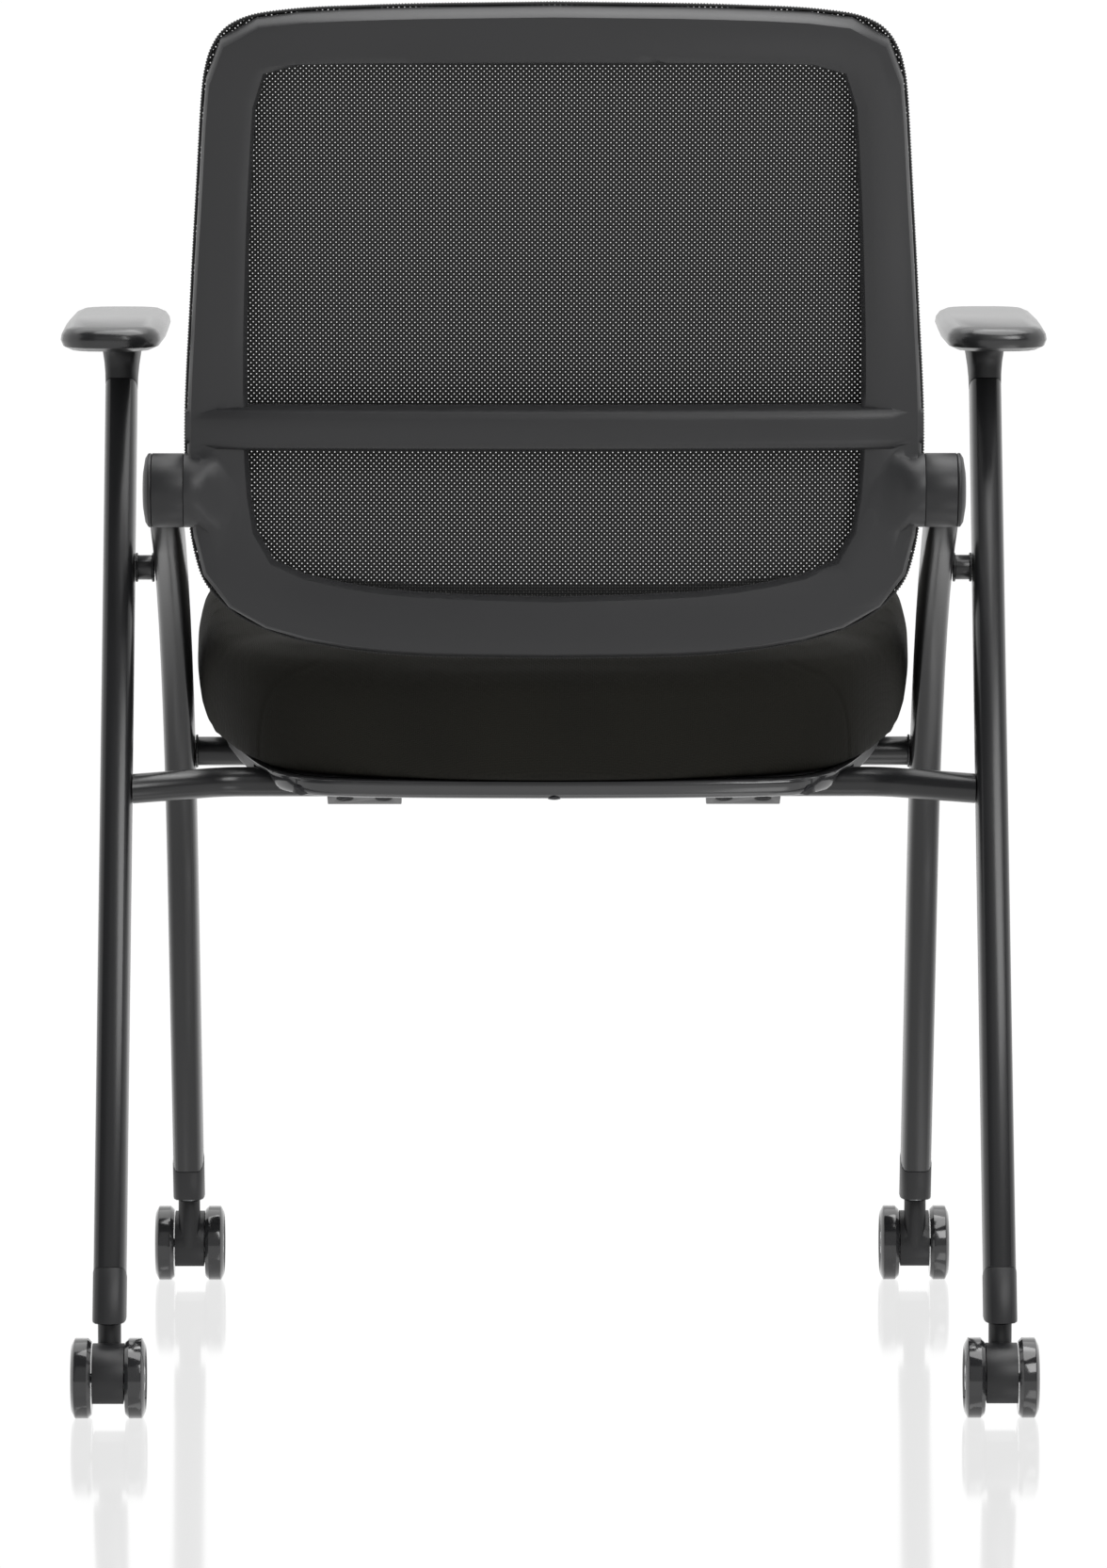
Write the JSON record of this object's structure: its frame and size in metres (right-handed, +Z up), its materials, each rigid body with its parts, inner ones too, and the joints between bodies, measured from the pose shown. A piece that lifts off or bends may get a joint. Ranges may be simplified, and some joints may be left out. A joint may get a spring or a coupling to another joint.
{
  "type": "nesting chair",
  "caption": "Nesting office chair with a flip-up padded seat, tilting mesh back, fixed arms, crossed oval-tube legs and swivel casters.",
  "frame": {"origin": "centre of the bounding box at floor level, under the seat", "axes": "+Z up, +Y the way a sitter faces, +X to the right seen from behind the chair"},
  "size_m": [0.6326, 0.5918, 0.8834],
  "materials": {
    "black_powder_coat": "satin powder coat",
    "black_plastic": "fine texture",
    "grey_plastic": "fine texture",
    "caster_wheel": "gloss",
    "arm_pad": "soft satin",
    "back_mesh": "open woven mesh",
    "seat_fabric": "woven upholstery",
    "plywood": "raw",
    "rubber": "matt",
    "steel": "zinc plated"
  },
  "bodies": {
    "frame": {"arm_pad_left": "arm_pad", "arm_pad_right": "arm_pad", "arm_post_left": "black_plastic", "arm_post_right": "black_plastic", "front_bar": "black_powder_coat", "front_foot_sleeve_left": "black_plastic", "front_foot_sleeve_right": "black_plastic", "inner_leg_left": "black_powder_coat", "inner_leg_right": "black_powder_coat", "leg_spacer_left": "black_powder_coat", "leg_spacer_right": "black_powder_coat", "outer_leg_left": "black_powder_coat", "outer_leg_right": "black_powder_coat", "rear_bar": "black_powder_coat", "rear_foot_sleeve_left": "black_plastic", "rear_foot_sleeve_right": "black_plastic", "tilt_drum_cap_left": "grey_plastic", "tilt_drum_cap_right": "grey_plastic", "tilt_drum_left": "grey_plastic", "tilt_drum_right": "grey_plastic", "tilt_spring_left": "steel", "tilt_spring_right": "steel"},
    "back": {"back_frame": "grey_plastic", "back_mesh": "back_mesh", "mesh_edging": "back_mesh", "tilt_spindle_left": "steel", "tilt_spindle_right": "steel"},
    "seat": {"hinge_clamp_left": "grey_plastic", "hinge_clamp_right": "grey_plastic", "hinge_screw_1": "steel", "hinge_screw_2": "steel", "hinge_screw_3": "steel", "hinge_screw_4": "steel", "seat_board": "plywood", "seat_buffer_left": "rubber", "seat_buffer_right": "rubber", "seat_cushion": "seat_fabric", "seat_pan": "grey_plastic"},
    "rear_caster_left_fork": {"rear_caster_left_housing": "black_plastic", "rear_caster_left_stem": "steel", "rear_caster_left_axle": "steel"},
    "rear_caster_left_wheel_left": {"rear_caster_left_wheel_left": "caster_wheel"},
    "rear_caster_left_wheel_right": {"rear_caster_left_wheel_right": "caster_wheel"},
    "rear_caster_right_fork": {"rear_caster_right_housing": "black_plastic", "rear_caster_right_stem": "steel", "rear_caster_right_axle": "steel"},
    "rear_caster_right_wheel_left": {"rear_caster_right_wheel_left": "caster_wheel"},
    "rear_caster_right_wheel_right": {"rear_caster_right_wheel_right": "caster_wheel"},
    "front_caster_left_fork": {"front_caster_left_housing": "black_plastic", "front_caster_left_stem": "steel", "front_caster_left_axle": "steel"},
    "front_caster_left_wheel_left": {"front_caster_left_wheel_left": "caster_wheel"},
    "front_caster_left_wheel_right": {"front_caster_left_wheel_right": "caster_wheel"},
    "front_caster_right_fork": {"front_caster_right_housing": "black_plastic", "front_caster_right_stem": "steel", "front_caster_right_axle": "steel"},
    "front_caster_right_wheel_left": {"front_caster_right_wheel_left": "caster_wheel"},
    "front_caster_right_wheel_right": {"front_caster_right_wheel_right": "caster_wheel"}
  },
  "joints": [
    {"name": "seat_flip", "type": "hinge", "parent": "frame", "child": "seat", "pos_m": [0, -0.07947, 0.3777], "axis": [1, 0, 0], "range_deg": [0, 68]},
    {"name": "back_tilt", "type": "hinge", "parent": "frame", "child": "back", "pos_m": [0, -0.16793, 0.5734], "axis": [1, 0, 0], "range_deg": [0, 8], "stiffness_Nm_per_rad": 120, "springref_deg": -2.86},
    {"name": "rear_caster_left_swivel", "type": "hinge", "parent": "frame", "child": "rear_caster_left_fork", "pos_m": [-0.2794, -0.25593, 0.06], "axis": [0, 0, 1], "continuous": true},
    {"name": "rear_caster_left_wheel_left_roll", "type": "hinge", "parent": "rear_caster_left_fork", "child": "rear_caster_left_wheel_left", "pos_m": [-0.2794, -0.27093, 0.025], "axis": [1, 0, 0], "continuous": true},
    {"name": "rear_caster_left_wheel_right_roll", "type": "hinge", "parent": "rear_caster_left_fork", "child": "rear_caster_left_wheel_right", "pos_m": [-0.2794, -0.27093, 0.025], "axis": [1, 0, 0], "continuous": true},
    {"name": "rear_caster_right_swivel", "type": "hinge", "parent": "frame", "child": "rear_caster_right_fork", "pos_m": [0.2794, -0.25593, 0.06], "axis": [0, 0, 1], "continuous": true},
    {"name": "rear_caster_right_wheel_left_roll", "type": "hinge", "parent": "rear_caster_right_fork", "child": "rear_caster_right_wheel_left", "pos_m": [0.2794, -0.27093, 0.025], "axis": [1, 0, 0], "continuous": true},
    {"name": "rear_caster_right_wheel_right_roll", "type": "hinge", "parent": "rear_caster_right_fork", "child": "rear_caster_right_wheel_right", "pos_m": [0.2794, -0.27093, 0.025], "axis": [1, 0, 0], "continuous": true},
    {"name": "front_caster_left_swivel", "type": "hinge", "parent": "frame", "child": "front_caster_left_fork", "pos_m": [-0.2462, 0.20507, 0.06], "axis": [0, 0, 1], "continuous": true},
    {"name": "front_caster_left_wheel_left_roll", "type": "hinge", "parent": "front_caster_left_fork", "child": "front_caster_left_wheel_left", "pos_m": [-0.2462, 0.22007, 0.025], "axis": [1, 0, 0], "continuous": true},
    {"name": "front_caster_left_wheel_right_roll", "type": "hinge", "parent": "front_caster_left_fork", "child": "front_caster_left_wheel_right", "pos_m": [-0.2462, 0.22007, 0.025], "axis": [1, 0, 0], "continuous": true},
    {"name": "front_caster_right_swivel", "type": "hinge", "parent": "frame", "child": "front_caster_right_fork", "pos_m": [0.2462, 0.20507, 0.06], "axis": [0, 0, 1], "continuous": true},
    {"name": "front_caster_right_wheel_left_roll", "type": "hinge", "parent": "front_caster_right_fork", "child": "front_caster_right_wheel_left", "pos_m": [0.2462, 0.22007, 0.025], "axis": [1, 0, 0], "continuous": true},
    {"name": "front_caster_right_wheel_right_roll", "type": "hinge", "parent": "front_caster_right_fork", "child": "front_caster_right_wheel_right", "pos_m": [0.2462, 0.22007, 0.025], "axis": [1, 0, 0], "continuous": true}
  ]
}
